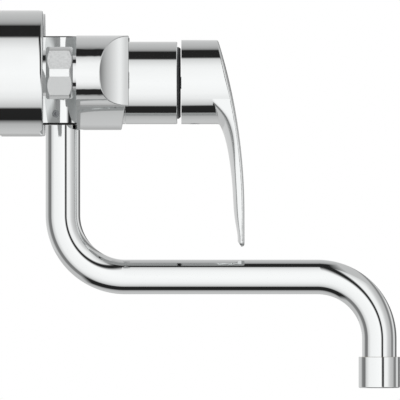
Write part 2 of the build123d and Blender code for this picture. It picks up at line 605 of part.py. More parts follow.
with BuildPart() as rotor:
    shoulder_x = PIVOT_X + ROTOR_SHOULDER
    turned_x([(ROTOR_X - ROTOR_LEG_LENGTH, ROTOR_R), (shoulder_x, ROTOR_R)], 0, AXIS_Z)
    turned_x([(shoulder_x, ROTOR_NECK_R), (shoulder_x + ROTOR_NECK_LENGTH, ROTOR_NECK_R)], 0, AXIS_Z)
    # the carrier slides between the rotor's two legs
    with BuildSketch(Plane.YZ.offset(ROTOR_X - ROTOR_LEG_LENGTH)):
        with Locations((0, AXIS_Z)):
            Rectangle(2 * (CARRIER_HALF_WIDTH + SEAT_GAP), 3 * ROTOR_R)
    extrude(amount=ROTOR_LEG_LENGTH, mode=Mode.SUBTRACT)
    # slot in which the spindle tilts
    with BuildSketch(Plane.YZ.offset(ROTOR_X)):
        with Locations((0, AXIS_Z + (ROTOR_SLOT_HIGH - ROTOR_SLOT_LOW) / 2)):
            Rectangle(SPINDLE_WIDTH + 2 * SPINDLE_SIDE_PLAY, ROTOR_SLOT_HIGH + ROTOR_SLOT_LOW)
    extrude(amount=2 * ROTOR_R, mode=Mode.SUBTRACT)
    with BuildSketch(Plane.XZ):
        with Locations((PIVOT_X, AXIS_Z)):
            Circle(PIVOT_PIN_R + RUNNING_GAP)
    extrude(amount=PIVOT_PIN_LENGTH / 2 + SEAT_GAP, both=True, mode=Mode.SUBTRACT)
save(rotor.part, "cartridge_rotor")

with BuildPart() as pin:
    with BuildSketch(Plane.XZ):
        with Locations((PIVOT_X, AXIS_Z)):
            Circle(PIVOT_PIN_R)
    extrude(amount=PIVOT_PIN_LENGTH / 2, both=True)
save(pin.part, "pivot_pin")

SPINDLE_FRONT_X = PIVOT_X + SPINDLE_REACH
with BuildPart() as spindle:
    with Locations((PIVOT_X - BALL_REACH, 0, AXIS_Z)):
        Sphere(BALL_R)
    turned_x([(PIVOT_X - BALL_REACH, SPINDLE_NECK_R), (PIVOT_X, SPINDLE_NECK_R)], 0, AXIS_Z)
    with BuildSketch(Plane.YZ.offset(PIVOT_X - SPINDLE_WIDTH / 2)):
        with Locations((0, AXIS_Z)):
            RectangleRounded(SPINDLE_WIDTH, SPINDLE_WIDTH, SPINDLE_CORNER)
    extrude(amount=SPINDLE_REACH + SPINDLE_WIDTH / 2)
    with BuildSketch(Plane.XZ):
        with Locations((PIVOT_X, AXIS_Z)):
            Circle(PIVOT_PIN_R + RUNNING_GAP)
    extrude(amount=SPINDLE_WIDTH, both=True, mode=Mode.SUBTRACT)
save(spindle.part, "lever_spindle")

# Lever
CAP_Z = AXIS_Z + CAP_LIFT
CAP_TOP_Z = CAP_Z + CAP_R
CAP_BOTTOM_Z = CAP_Z - CAP_R
TIP_Z = AXIS_Z - BLADE_DROP
BEVEL_Z = TIP_Z + BLADE_TIP_BEVEL
STRAIGHT_Z = TIP_Z + BLADE_STRAIGHT_LENGTH
CAP_TOP_X = CAP_X + CAP_TOP_DEPTH
BLADE_FRONT_X = CAP_X + BLADE_DEPTH
TIP_BACK_X = BLADE_FRONT_X - BLADE_THICKNESS
FRONT_RISE = CAP_TOP_Z - STRAIGHT_Z
FRONT_SET_BACK = BLADE_FRONT_X - CAP_TOP_X
FRONT_ARC_R = (FRONT_RISE**2 + FRONT_SET_BACK**2) / (2 * FRONT_SET_BACK)
FRONT_MIDDLE_X = BLADE_FRONT_X - FRONT_ARC_R + sqrt(FRONT_ARC_R**2 - (FRONT_RISE / 2) ** 2)
ROOT_BACK_X = TIP_BACK_X - BLADE_ROOT_SET_BACK
CROWN_AXIS_X = BLADE_FRONT_X - BLADE_CROWN_R
SHROUD_REACH = sqrt((SHROUD_FRONT_X - SHROUD_EDGE - PIVOT_X) ** 2 + SHROUD_R**2)
BEYOND_FRONT_X = BLADE_FRONT_X + BLADE_THICKNESS
GRUB_X = CAP_X + GRUB_SET_IN
# Down the blade's back: the share of its drop, then how far its back stands behind the tip's
# and how deep its half-round is, each as a share of what it is at the root
BLADE_BACK = [
    (0.031, 2.356, 1.06),
    (0.147, 1.832, 1.06),
    (0.256, 1.0, 1.0),
    (0.356, 0.634, 0.765),
    (0.482, 0.406, 0.459),
    (0.649, 0.238, 0.318),
    (0.838, 0.099, 0.282),
    (1.0, 0.0, 0.27),
]


def blade_half_width(depth):
    """Half the blade's width so far below the cap's centre: its sides are planes that lean in."""
    slope = radians(BLADE_SIDE_SLOPE)
    return (CAP_R - BLADE_SIDE_INSET - depth * sin(slope)) / cos(slope)


with BuildPart() as lever:
    # blade, through its level sections, each flat in front and half-round behind
    blade_drop = CAP_Z - TIP_Z
    for share, set_back, fullness in BLADE_BACK:
        half_width = blade_half_width(share * blade_drop)
        bulge = fullness * BLADE_ROOT_BULGE
        side_x = TIP_BACK_X - set_back * BLADE_ROOT_SET_BACK + bulge
        with BuildSketch(Plane.XY.offset(CAP_Z - share * blade_drop)):
            with BuildLine():
                Polyline(
                    (side_x, -half_width),
                    (BEYOND_FRONT_X, -half_width),
                    (BEYOND_FRONT_X, half_width),
                    (side_x, half_width),
                )
                EllipticalCenterArc((side_x, 0), bulge, half_width, start_angle=90, arc_size=180)
            make_face()
    loft()
    # tip, rounded from the front and bevelled behind
    with BuildSketch(Plane.YZ.offset(CAP_X)) as front_outline:
        with BuildLine():
            top_y = blade_half_width(0) + SEAT_GAP
            tip_y = blade_half_width(blade_drop) + SEAT_GAP
            Polyline((-top_y, CAP_Z), (-tip_y, TIP_Z), (tip_y, TIP_Z), (top_y, CAP_Z), close=True)
        make_face()
        fillet(front_outline.vertices().group_by(Axis.Y)[0], BLADE_TIP_CORNER)
    extrude(amount=BEYOND_FRONT_X - CAP_X, mode=Mode.INTERSECT)
    with BuildSketch(Plane.XZ):
        with BuildLine():
            Polyline(
                (ROOT_BACK_X, BEVEL_Z),
                (TIP_BACK_X, BEVEL_Z),
                (TIP_BACK_X + BLADE_TIP_BEVEL_DEPTH, TIP_Z),
                (ROOT_BACK_X, TIP_Z),
                close=True,
            )
        make_face()
    extrude(amount=CAP_R, both=True, mode=Mode.SUBTRACT)
    # cap
    with BuildSketch(Plane.YZ.offset(CAP_X)):
        with Locations((0, CAP_Z)):
            Circle(CAP_R)
    extrude(amount=BEYOND_FRONT_X - CAP_X)
    # crowned front, which bends over from the straight blade to the top of the cap
    with BuildSketch(Plane.XZ):
        with BuildLine():
            front = ThreePointArc(
                (CAP_TOP_X, CAP_TOP_Z),
                (FRONT_MIDDLE_X, CAP_TOP_Z - FRONT_RISE / 2),
                (BLADE_FRONT_X, STRAIGHT_Z),
            )
            Polyline(
                front @ 1,
                (BLADE_FRONT_X, TIP_Z - OVERRUN),
                (CROWN_AXIS_X, TIP_Z - OVERRUN),
                (CROWN_AXIS_X, CAP_TOP_Z),
                front @ 0,
            )
        make_face()
    revolve(axis=Axis((CROWN_AXIS_X, 0, 0), (0, 0, 1)), mode=Mode.INTERSECT)
    # the front's edge and the root, where the blade leaves the cap, are rounded alike
    below_cap = [e for e in lever.edges() if CAP_BOTTOM_Z - SEAT_GAP < e.center().Z < CAP_Z - BLADE_SIDE_INSET]
    root = [e for e in below_cap if CAP_X + BLADE_THICKNESS < e.center().X < ROOT_BACK_X + BLADE_ROOT_BULGE / 2]
    crowned = [f for f in lever.faces() if f.normal_at().X > 0.9 and f.center().X > CAP_TOP_X]
    rim = [e for e in lever.edges() if sum(e.is_same(o) for f in crowned for o in f.edges()) == 1]
    fillet(rim + root, LEVER_EDGE)
    # hollow that lets the cap tilt over the shroud, and the deeper core behind the front
    with BuildSketch(Plane.XZ):
        with Locations((PIVOT_X, AXIS_Z)):
            Circle(SHROUD_REACH + CAVITY_CLEARANCE)
        with Locations((PIVOT_X, AXIS_Z)):
            half_disc = (2 * SHROUD_REACH, 2 * SHROUD_REACH)
            Rectangle(*half_disc, align=(Align.MIN, Align.MIN), mode=Mode.INTERSECT)
    revolve(axis=Axis((0, 0, AXIS_Z), (1, 0, 0)), mode=Mode.SUBTRACT)
    bore_x(CAP_X, CAP_X + CAVITY_DEPTH, CAVITY_R, 0, AXIS_Z)
    # boss for the spindle and the rib that takes the grub screw
    boss_x = CAP_X + BOSS_SET_IN
    core_x = CAP_X + CAVITY_DEPTH
    with BuildSketch(Plane.YZ.offset(boss_x)):
        with Locations((0, AXIS_Z)):
            Circle(BOSS_R)
            Rectangle(RIB_WIDTH, CAVITY_R + OVERRUN, align=(Align.CENTER, Align.MAX))
    extrude(amount=core_x + OVERRUN - boss_x)
    with BuildSketch(Plane.YZ.offset(boss_x)):
        with Locations((0, AXIS_Z)):
            square = SPINDLE_WIDTH + 2 * RUNNING_GAP
            RectangleRounded(square, square, SPINDLE_CORNER)
    extrude(amount=SPINDLE_FRONT_X + SEAT_GAP - boss_x, mode=Mode.SUBTRACT)
    with BuildSketch(Plane.XY.offset(AXIS_Z - SPINDLE_WIDTH / 2)):
        with Locations((GRUB_X, 0)):
            Circle(GRUB_R + THREAD_GAP)
    extrude(amount=-CAP_R, mode=Mode.SUBTRACT)
    with BuildSketch(Plane.XY.offset(CAP_BOTTOM_Z + PLUG_LENGTH)):
        with Locations((GRUB_X, 0)):
            Circle(PLUG_R + RUNNING_GAP)
    extrude(amount=-2 * PLUG_LENGTH, mode=Mode.SUBTRACT)
save(lever.part, "lever")

with BuildPart() as grub_screw:
    grub_top_z = AXIS_Z - SPINDLE_WIDTH / 2
    with BuildSketch(Plane.XY.offset(grub_top_z)):
        with Locations((GRUB_X, 0)):
            Circle(GRUB_R)
    extrude(amount=-GRUB_LENGTH)
    with BuildSketch(Plane.XY.offset(grub_top_z - GRUB_LENGTH)):
        with Locations((GRUB_X, 0)):
            RegularPolygon(GRUB_KEY_ACROSS_FLATS / 2, 6, major_radius=False)
    extrude(amount=GRUB_KEY_DEPTH, mode=Mode.SUBTRACT)
save(grub_screw.part, "lever_grub_screw")

with BuildPart() as plug:
    with BuildSketch(Plane.XY.offset(CAP_BOTTOM_Z + PLUG_LENGTH - SEAT_GAP)):
        with Locations((GRUB_X, 0)):
            Circle(PLUG_R)
    extrude(amount=-(PLUG_LENGTH - SEAT_GAP))
save(plug.part, "lever_plug")

# Spout
RUN_Z = INLET_Z - SPOUT_DROP
SLEEVE_TOP_Z = SLEEVE_Z + SLEEVE_LENGTH
TUBE_TOP_Z = SLEEVE_TOP_Z - TUBE_STOP
SPOUT_RING_LEVELS = [UPPER_RING_LEVEL, LOWER_RING_LEVEL]
GLIDE_LEVELS = [UPPER_GLIDE_LEVEL, LOWER_GLIDE_LEVEL]
TUBE_BORE_R = TUBE_R - TUBE_WALL

with BuildPart() as tube:
    with BuildLine() as route:
        FilletPolyline(
            (SWIVEL_X, 0, TUBE_TOP_Z),
            (SWIVEL_X, 0, RUN_Z),
            (OUTLET_REACH, 0, RUN_Z),
            (OUTLET_REACH, 0, OUTLET_Z),
            radius=TUBE_BEND_R,
        )
    with BuildSketch(Plane(origin=route.line @ 0, z_dir=route.line % 0)):
        Circle(TUBE_R)
        Circle(TUBE_BORE_R, mode=Mode.SUBTRACT)
    sweep(path=route.line)
save(tube.part, "spout_tube")

with BuildPart() as sleeve:
    turned_z([(SLEEVE_Z, SLEEVE_R), (SLEEVE_TOP_Z, SLEEVE_R)], SWIVEL_X)
    bore_z(SLEEVE_Z, TUBE_TOP_Z + RUNNING_GAP, TUBE_R + RUNNING_GAP, SWIVEL_X)
    bore_z(SLEEVE_Z, SLEEVE_TOP_Z, TUBE_BORE_R, SWIVEL_X)
    ring_groove_height = RING_GROOVE_RATIO * SPOUT_RING_GROOVE_DEPTH
    grooves = [(level, SPOUT_RING_GROOVE_DEPTH, ring_groove_height) for level in SPOUT_RING_LEVELS]
    grooves += [(level, GLIDE_DEPTH, GLIDE_HEIGHT) for level in GLIDE_LEVELS]
    grooves += [(KEEPER_LEVEL, KEEPER_GROOVE_DEPTH, KEEPER_GROOVE_HEIGHT)]
    for level, depth, height in grooves:
        with BuildSketch(Plane.XZ):
            with Locations((SWIVEL_X + SLEEVE_R, SLEEVE_TOP_Z - level)):
                Rectangle(2 * depth, height)
        revolve(axis=Axis((SWIVEL_X, 0, 0), (0, 0, 1)), mode=Mode.SUBTRACT)
save(sleeve.part, "spout_sleeve")

with BuildPart() as spout_rings:
    groove_r = SLEEVE_R - SPOUT_RING_GROOVE_DEPTH
    for level in SPOUT_RING_LEVELS:
        ring_z((SOCKET_R - RUNNING_GAP - groove_r) / 2, groove_r, SLEEVE_TOP_Z - level)
save(spout_rings.part, "spout_o_rings")

with BuildPart() as glide_rings:
    for level in GLIDE_LEVELS:
        z0 = SLEEVE_TOP_Z - level - GLIDE_HEIGHT / 2
        turned_z([(z0, SLEEVE_R), (z0 + GLIDE_HEIGHT, SLEEVE_R)], SWIVEL_X)
        bore_z(z0, z0 + GLIDE_HEIGHT, SLEEVE_R - GLIDE_DEPTH, SWIVEL_X)
save(glide_rings.part, "spout_glide_rings")

with BuildPart() as keeper:
    tip_start = SLEEVE_R + RUNNING_GAP
    with BuildSketch(KEEPER_AXIS.offset(tip_start - KEEPER_GROOVE_DEPTH + 2 * SEAT_GAP)):
        Circle(KEEPER_TIP_R)
    extrude(amount=KEEPER_TIP_LENGTH)
    with BuildSketch(KEEPER_AXIS.offset(SOCKET_R + SEAT_GAP)):
        Circle(KEEPER_R)
    extrude(amount=HUB_R - SOCKET_R - KEEPER_SINK)
    with BuildSketch(KEEPER_AXIS.offset(HUB_R - KEEPER_SINK + SEAT_GAP)):
        RegularPolygon(KEEPER_KEY_ACROSS_FLATS / 2, 6, major_radius=False)
    extrude(amount=-KEEPER_KEY_DEPTH, mode=Mode.SUBTRACT)
save(keeper.part, "spout_keeper_screw")

# Outlet nipple and aerator
NIPPLE_R = TUBE_R + NIPPLE_STEP
NIPPLE_BORE_R = TUBE_BORE_R - RUNNING_GAP - NIPPLE_SPIGOT_WALL
AERATOR_BORE_R = NIPPLE_R + THREAD_GAP
AERATOR_R = AERATOR_BORE_R + AERATOR_WALL
AERATOR_Z = OUTLET_Z - AERATOR_HEIGHT
NIPPLE_Z = OUTLET_Z - NIPPLE_THREAD_LENGTH
SCREEN_Z = NIPPLE_Z - AERATOR_WASHER_THICKNESS
INSERT_TOP_Z = SCREEN_Z - SCREEN_THICKNESS
INSERT_R = AERATOR_BORE_R - INSERT_GAP


def holes_within(reach, pitch, row_pitch, stagger):
    """Places of holes in rows within reach of the outlet's axis, every second row staggered."""
    places = []
    for row in range(-int(reach / row_pitch), int(reach / row_pitch) + 1):
        for column in range(-int(reach / pitch) - 1, int(reach / pitch) + 2):
            across = column * pitch + (row % 2) * stagger
            if across**2 + (row * row_pitch) ** 2 <= reach**2:
                places.append((OUTLET_REACH + across, row * row_pitch))
    return places


with BuildPart() as nipple:
    turned_z([(NIPPLE_Z, NIPPLE_R), (OUTLET_Z, NIPPLE_R)], OUTLET_REACH)
    spigot_r = TUBE_BORE_R - RUNNING_GAP
    turned_z([(OUTLET_Z, spigot_r), (OUTLET_Z + NIPPLE_SPIGOT_LENGTH, spigot_r)], OUTLET_REACH)
    bore_z(NIPPLE_Z, OUTLET_Z + NIPPLE_SPIGOT_LENGTH, NIPPLE_BORE_R, OUTLET_REACH)
save(nipple.part, "outlet_nipple")

with BuildPart() as aerator_housing:
    edge = [(AERATOR_Z, AERATOR_R - AERATOR_EDGE), (AERATOR_Z + AERATOR_EDGE, AERATOR_R)]
    turned_z([*edge, (OUTLET_Z, AERATOR_R)], OUTLET_REACH)
    bore_z(AERATOR_Z + AERATOR_LIP_HEIGHT, OUTLET_Z, AERATOR_BORE_R, OUTLET_REACH)
    bore_z(AERATOR_Z, OUTLET_Z, AERATOR_BORE_R - AERATOR_LIP_WIDTH, OUTLET_REACH)
save(aerator_housing.part, "aerator_housing")

with BuildPart() as aerator_washer:
    washer_r = NIPPLE_R - SEAT_GAP
    turned_z([(SCREEN_Z, washer_r), (NIPPLE_Z, washer_r)], OUTLET_REACH)
    bore_z(SCREEN_Z, NIPPLE_Z, washer_r - AERATOR_WASHER_WIDTH, OUTLET_REACH)
save(aerator_washer.part, "aerator_washer")

with BuildPart() as screen:
    with BuildSketch(Plane.XY.offset(INSERT_TOP_Z)):
        with Locations((OUTLET_REACH, 0)):
            Circle(INSERT_R)
        inside = INSERT_R - AERATOR_WASHER_WIDTH - SCREEN_HOLE / 2
        with Locations(*holes_within(inside, SCREEN_PITCH, SCREEN_PITCH, 0)):
            Rectangle(SCREEN_HOLE, SCREEN_HOLE, mode=Mode.SUBTRACT)
    extrude(amount=SCREEN_THICKNESS)
save(screen.part, "aerator_screen")

with BuildPart() as insert:
    floor_z = AERATOR_Z + AERATOR_LIP_HEIGHT / 2
    seat_z = AERATOR_Z + AERATOR_LIP_HEIGHT + RUNNING_GAP
    throat_r = AERATOR_BORE_R - AERATOR_LIP_WIDTH - INSERT_GAP
    turned_z([(floor_z, throat_r), (seat_z, throat_r)], OUTLET_REACH)
    turned_z([(seat_z, INSERT_R), (INSERT_TOP_Z, INSERT_R)], OUTLET_REACH)
    bore_z(floor_z + INSERT_FLOOR, INSERT_TOP_Z, throat_r - INSERT_WALL, OUTLET_REACH)
    with BuildSketch(Plane.XY.offset(floor_z)):
        inside = throat_r - INSERT_WALL - OUTLET_HOLE_R
        row_pitch = OUTLET_HOLE_PITCH * sqrt(3) / 2
        with Locations(*holes_within(inside, OUTLET_HOLE_PITCH, row_pitch, OUTLET_HOLE_PITCH / 2)):
            Circle(OUTLET_HOLE_R)
    extrude(amount=INSERT_FLOOR, mode=Mode.SUBTRACT)
save(insert.part, "aerator_insert")
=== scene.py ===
from math import degrees, pi, radians, sqrt

import bpy
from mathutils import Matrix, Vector


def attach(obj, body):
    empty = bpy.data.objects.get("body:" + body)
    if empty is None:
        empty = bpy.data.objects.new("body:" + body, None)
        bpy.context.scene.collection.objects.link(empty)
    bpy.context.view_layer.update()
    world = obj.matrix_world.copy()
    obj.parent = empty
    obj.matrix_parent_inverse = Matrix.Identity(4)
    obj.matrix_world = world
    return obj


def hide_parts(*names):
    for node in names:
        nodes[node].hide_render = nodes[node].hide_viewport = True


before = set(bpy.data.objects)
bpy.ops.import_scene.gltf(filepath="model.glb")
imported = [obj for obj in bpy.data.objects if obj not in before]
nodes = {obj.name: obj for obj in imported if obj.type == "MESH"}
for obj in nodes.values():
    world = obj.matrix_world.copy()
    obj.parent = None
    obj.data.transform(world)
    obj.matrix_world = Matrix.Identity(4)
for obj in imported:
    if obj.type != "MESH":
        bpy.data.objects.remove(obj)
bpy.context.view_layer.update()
scene = bpy.context.scene
scene.view_settings.view_transform = "Standard"
MM = 0.001

# ---- Studio --------------------------------------------------------------------------------
# A long lens looks straight along the wall at the tap's hot side. A white light box framed by
# black cards stands round it, because polished chrome only shows what stands round it.
VIEW_WIDTH = 232 * MM
VIEW_CENTRE = Vector((116 * MM, 0, -81.1 * MM))
LENS = 1500
SENSOR = 36
FARTHEST_SEEN = 100
# greys out of 255, by angle in degrees from the lens: sideways, and up or down
SIDE_CARDS = [
    (-180, 206), (-128, 200), (-118, 182), (-110, 125), (-88, 112), (-79, 208), (-58, 240),
    (10, 250), (16, 36), (23, 34), (28, 243), (45, 240), (54, 216), (64, 196), (82, 180),
    (90, 128), (102, 124), (107, 184), (112, 205), (116, 238), (120, 218), (127, 178),
    (133, 108), (154, 92), (165, 112), (173, 180), (180, 206),
]
TOP_CARDS = [
    (-178, 172), (-162, 170), (-148, 194), (-128, 190), (-110, 176), (-103, 140), (-97, 34),
    (-70, 36), (-66, 190), (-58, 210), (-46, 232), (-30, 244), (0, 250), (30, 246), (45, 238),
    (56, 224), (66, 206), (71, 36), (97, 34), (102, 140), (109, 166), (120, 180), (150, 196),
    (178, 222),
]
# the side cards lean as they go up or down, and arch over the tap on the left and upper right
CARD_LEAN = 0.42
RIGHT_ARCH = 0.23
LEFT_ARCH = 1.2
ARCH_CLEAR = 3
# the top cards end on the left and, overhead, on the right, with half light beyond them
TOP_CARDS_LEFT = -45
TOP_CARDS_RIGHT = 14
TOP_CARDS_FADE = 20
BEYOND_TOP_CARDS = 0.5
# keeps what looks straight back into the lens from dividing by zero
LEAST_SLANT = 0.0001
# where polished pieces mirror each other they show an even grey, which is lighter on the left
MIRRORED_TWICE = 155
TWICE_FROM_LEFT = 230
TWICE_LEFT = -45
TWICE_FADE = 30
DEPTH_OF_ONE_MIRROR = 2.5
BOX_LIGHT = 1.1
ROOM_LIGHT = 0.8
LAMP_SIZE = 1.4
LAMP_WATTS = 26
LAMP_PLACE = (0.9, -1.2, 1.7)
FLOOR_Z = -340 * MM
FLOOR_R = 3.0
FLOOR_PALE = (0.86, 0.86, 0.86, 1)

camera_data = bpy.data.cameras.new("camera")
camera_data.lens = LENS
camera_data.sensor_width = SENSOR
camera_data.clip_end = FARTHEST_SEEN
camera = bpy.data.objects.new("camera", camera_data)
scene.collection.objects.link(camera)
camera.location = VIEW_CENTRE - Vector((0, VIEW_WIDTH * LENS / SENSOR, 0))
camera.rotation_euler = (pi / 2, 0, 0)
scene.camera = camera


def add_node(tree, kind, inputs=None, **settings):
    """Adds a shader node, sets what it is told and plugs in or types in its inputs."""
    node = tree.nodes.new(kind)
    for name, value in settings.items():
        setattr(node, name, value)
    for name, value in (inputs or {}).items():
        if isinstance(value, bpy.types.NodeSocket):
            tree.links.new(value, node.inputs[name])
        else:
            node.inputs[name].default_value = value
    return node


def work_out(tree, operation, *values, clamp=False):
    """One sum on numbers inside a node tree."""
    inputs = dict(enumerate(values))
    node = add_node(tree, "ShaderNodeMath", inputs, operation=operation, use_clamp=clamp)
    return node.outputs[0]


def choose(tree, share, first, second):
    """The first number where the share is 0, and the second where it is 1."""
    inputs = {0: share, 2: first, 3: second}
    return add_node(tree, "ShaderNodeMix", inputs, data_type="FLOAT").outputs[0]


def beyond(tree, value, start, distance):
    """Rises from 0 at a start to 1 at a distance from it, which is below 0 towards the left."""
    return work_out(tree, "MULTIPLY_ADD", value, 1 / distance, -start / distance, clamp=True)


def grey(level):
    """The light that a grey of this level, out of 255, stands for."""
    return ((level / 255 + 0.055) / 1.055) ** 2.4


def cards_by_angle(tree, angle, cards):
    """How bright the light box is at an angle from -180 to 180 degrees."""
    place = work_out(tree, "MULTIPLY_ADD", angle, 1 / 360, 0.5)
    node = add_node(tree, "ShaderNodeValToRGB", {"Fac": place})
    stops = node.color_ramp.elements
    while len(stops) < len(cards):
        stops.new(0.5)
    for stop, (angle_there, level) in zip(stops, cards):
        stop.position = (angle_there + 180) / 360
        stop.color = (grey(level), grey(level), grey(level), 1)
    return node.outputs["Color"]


def arched(tree, across, up, arch):
    """The angle by which a card that arches over is found: its foot is where up is nothing."""
    high = work_out(tree, "MULTIPLY", up, arch)
    squares = work_out(tree, "MULTIPLY_ADD", high, high, work_out(tree, "MULTIPLY", across, across))
    return work_out(tree, "SQRT", squares)


world = bpy.data.worlds.new("light_box")
world.use_nodes = True
scene.world = world
box = world.node_tree
box.nodes.clear()

direction = add_node(box, "ShaderNodeTexCoord").outputs["Generated"]
to_x, to_y, to_z = add_node(box, "ShaderNodeSeparateXYZ", {"Vector": direction}).outputs
off_lens = work_out(box, "ARCCOSINE", work_out(box, "MULTIPLY", to_y, -1))
off_lens = work_out(box, "MULTIPLY", off_lens, degrees(1))
square = work_out(box, "MULTIPLY_ADD", to_x, to_x, work_out(box, "MULTIPLY", to_z, to_z))
slant = work_out(box, "MAXIMUM", work_out(box, "SQRT", square), LEAST_SLANT)
spread = work_out(box, "DIVIDE", off_lens, slant)
sideways = work_out(box, "MULTIPLY", spread, to_x)
upright = work_out(box, "MULTIPLY", spread, to_z)

overhead = work_out(box, "GREATER_THAN", upright, 0)
right = work_out(box, "GREATER_THAN", sideways, ARCH_CLEAR)
upper_right = work_out(box, "MULTIPLY", right, overhead)
left = work_out(box, "LESS_THAN", sideways, 0)
height = work_out(box, "ABSOLUTE", upright)
leaning = work_out(box, "MULTIPLY_ADD", height, -CARD_LEAN, sideways)
leaning = choose(box, upper_right, leaning, arched(box, sideways, upright, RIGHT_ARCH))
left_arch = work_out(box, "MULTIPLY", arched(box, sideways, upright, LEFT_ARCH), -1)
leaning = choose(box, left, leaning, left_arch)

past_left = beyond(box, sideways, TOP_CARDS_LEFT, -TOP_CARDS_FADE)
past_right = beyond(box, sideways, TOP_CARDS_RIGHT, TOP_CARDS_FADE)
past_right = work_out(box, "MULTIPLY", upper_right, past_right)
past_end = work_out(box, "MAXIMUM", past_left, past_right)
past_end = work_out(box, "MULTIPLY", past_end, BEYOND_TOP_CARDS)
top_light = work_out(box, "MAXIMUM", cards_by_angle(box, upright, TOP_CARDS), past_end)
box_light = work_out(box, "MINIMUM", cards_by_angle(box, leaning, SIDE_CARDS), top_light)
box_light = work_out(box, "MULTIPLY", box_light, BOX_LIGHT)

ray = add_node(box, "ShaderNodeLightPath").outputs
twice = work_out(box, "GREATER_THAN", ray["Ray Depth"], DEPTH_OF_ONE_MIRROR)
far_left = beyond(box, sideways, TWICE_LEFT, -TWICE_FADE)
even_light = choose(box, far_left, grey(MIRRORED_TWICE), grey(TWICE_FROM_LEFT))
box_light = choose(box, twice, box_light, even_light)
room_light = choose(box, ray["Is Camera Ray"], ROOM_LIGHT, 1)
seen = choose(box, ray["Is Glossy Ray"], room_light, box_light)
white = (1, 1, 1, 1)
lit = add_node(box, "ShaderNodeBackground", {"Color": white, "Strength": seen}).outputs[0]
add_node(box, "ShaderNodeOutputWorld", {"Surface": lit})

lamp_data = bpy.data.lights.new("soft_lamp", "AREA")
lamp_data.shape = "DISK"
lamp_data.size = LAMP_SIZE
lamp_data.energy = LAMP_WATTS
lamp = bpy.data.objects.new("soft_lamp", lamp_data)
scene.collection.objects.link(lamp)
lamp.location = LAMP_PLACE
lamp.rotation_euler = (VIEW_CENTRE - lamp.location).to_track_quat("-Z", "Y").to_euler()
lamp.visible_glossy = False

# chrome doesn't mirror the floor, and from below it isn't in the way
bpy.ops.object.select_all(action="DESELECT")
bpy.ops.mesh.primitive_circle_add(
    vertices=96, radius=FLOOR_R, fill_type="NGON", location=(VIEW_CENTRE.x, 0, FLOOR_Z))
floor = bpy.context.object
floor.name = "floor"
pale = bpy.data.materials.new("pale_floor")
pale.use_nodes = True
tree = pale.node_tree
tree.nodes.clear()
matt = add_node(tree, "ShaderNodeBsdfDiffuse", {"Color": FLOOR_PALE}).outputs[0]
clear = add_node(tree, "ShaderNodeBsdfTransparent").outputs[0]
glossy_ray = add_node(tree, "ShaderNodeLightPath").outputs["Is Glossy Ray"]
from_below = add_node(tree, "ShaderNodeNewGeometry").outputs["Backfacing"]
unseen = work_out(tree, "MAXIMUM", glossy_ray, from_below)
surface = add_node(tree, "ShaderNodeMixShader", {0: unseen, 1: matt, 2: clear}).outputs[0]
add_node(tree, "ShaderNodeOutputMaterial", {"Surface": surface})
floor.data.materials.append(pale)

# ---- Wall unions ---------------------------------------------------------------------------
# Two eccentric unions of plated brass screw into the wall with a half-inch pipe thread. Turned
# either way they take up an error in the pipes, and the rosettes and union nuts sit on them.
# The thread is cut by a groove of triangular section that winds along the plain end.
INLET_Y = 75 * MM
INLET_Z = -8 * MM
SIDES = {"hot": -INLET_Y, "cold": INLET_Y}
THREAD_ROOT = 9.35 * MM
THREAD_PITCH = 1.814 * MM
THREAD_RUNOUT = 1.6 * MM
THREAD_TURNS = 10
THREAD_STEPS = 48
GROOVE_TOP = 10.9 * MM
GROOVE_WIDTH = 1.76 * MM
SHARP_EDGE = radians(30)
WELD = 0.002 * MM
CHROME = (0.90, 0.915, 0.915)
CHROME_WIPING = (45, 3, 0.025, 0.06)
CHROME_RIPPLE = (260, 2, 0.004, 0.12)
# noise runs from 0 to 1, but nearly all of it lies between these
NOISE_LOW = 0.3
NOISE_HIGH = 0.7


def object_mode_with(*pieces):
    """Leaves edit mode with only these pieces selected."""
    if bpy.context.object and bpy.context.object.mode == "EDIT":
        bpy.ops.object.mode_set(mode="OBJECT")
    bpy.ops.object.select_all(action="DESELECT")
    for piece in pieces:
        piece.select_set(True)
    if pieces:
        bpy.context.view_layer.objects.active = pieces[0]


def apply_all(piece):
    """Makes every modifier on a piece part of its mesh, in order."""
    object_mode_with(piece)
    for modifier in list(piece.modifiers):
        bpy.ops.object.modifier_apply(modifier=modifier.name)


def draw_line(name, points):
    """A bare closed line, drawn from point to point, ready to be turned or wound. It grows from
    one vertex, which is what is left of a plane."""
    object_mode_with()
    bpy.ops.mesh.primitive_plane_add(size=MM, location=points[0])
    line = bpy.context.object
    line.name = name
    bpy.ops.object.transform_apply(location=True)
    bpy.ops.object.mode_set(mode="EDIT")
    bpy.ops.mesh.select_all(action="SELECT")
    bpy.ops.mesh.merge(type="CENTER")
    for here, there in zip(points, points[1:] + points[:1]):
        step = Vector(there) - Vector(here)
        bpy.ops.mesh.extrude_vertices_move(TRANSFORM_OT_translate={"value": step})
    bpy.ops.mesh.select_all(action="SELECT")
    bpy.ops.mesh.remove_doubles(threshold=WELD)
    return line


def close_up(piece):
    """Joins the seams of a piece and points its faces outwards."""
    bpy.ops.mesh.select_all(action="SELECT")
    bpy.ops.mesh.remove_doubles(threshold=WELD)
    bpy.ops.mesh.normals_make_consistent(inside=False)
    object_mode_with(piece)


def cut_with(piece, tool, operation):
    """Cuts a piece with a tool, or keeps only what lies inside the tool."""
    cut = piece.modifiers.new("cut", "BOOLEAN")
    cut.operation = operation
    cut.object = tool
    cut.solver = "EXACT"
    apply_all(piece)


def cover_with(material, *pieces):
    """Gives pieces their finish."""
    for piece in pieces:
        piece.data.materials.clear()
        piece.data.materials.append(material)


def stand_for(piece, body, slot, material, *replaced):
    """Hands a finished piece to the frame in place of the CAD nodes that it stands for."""
    cover_with(material, piece)
    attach(piece, body)
    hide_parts(*replaced)


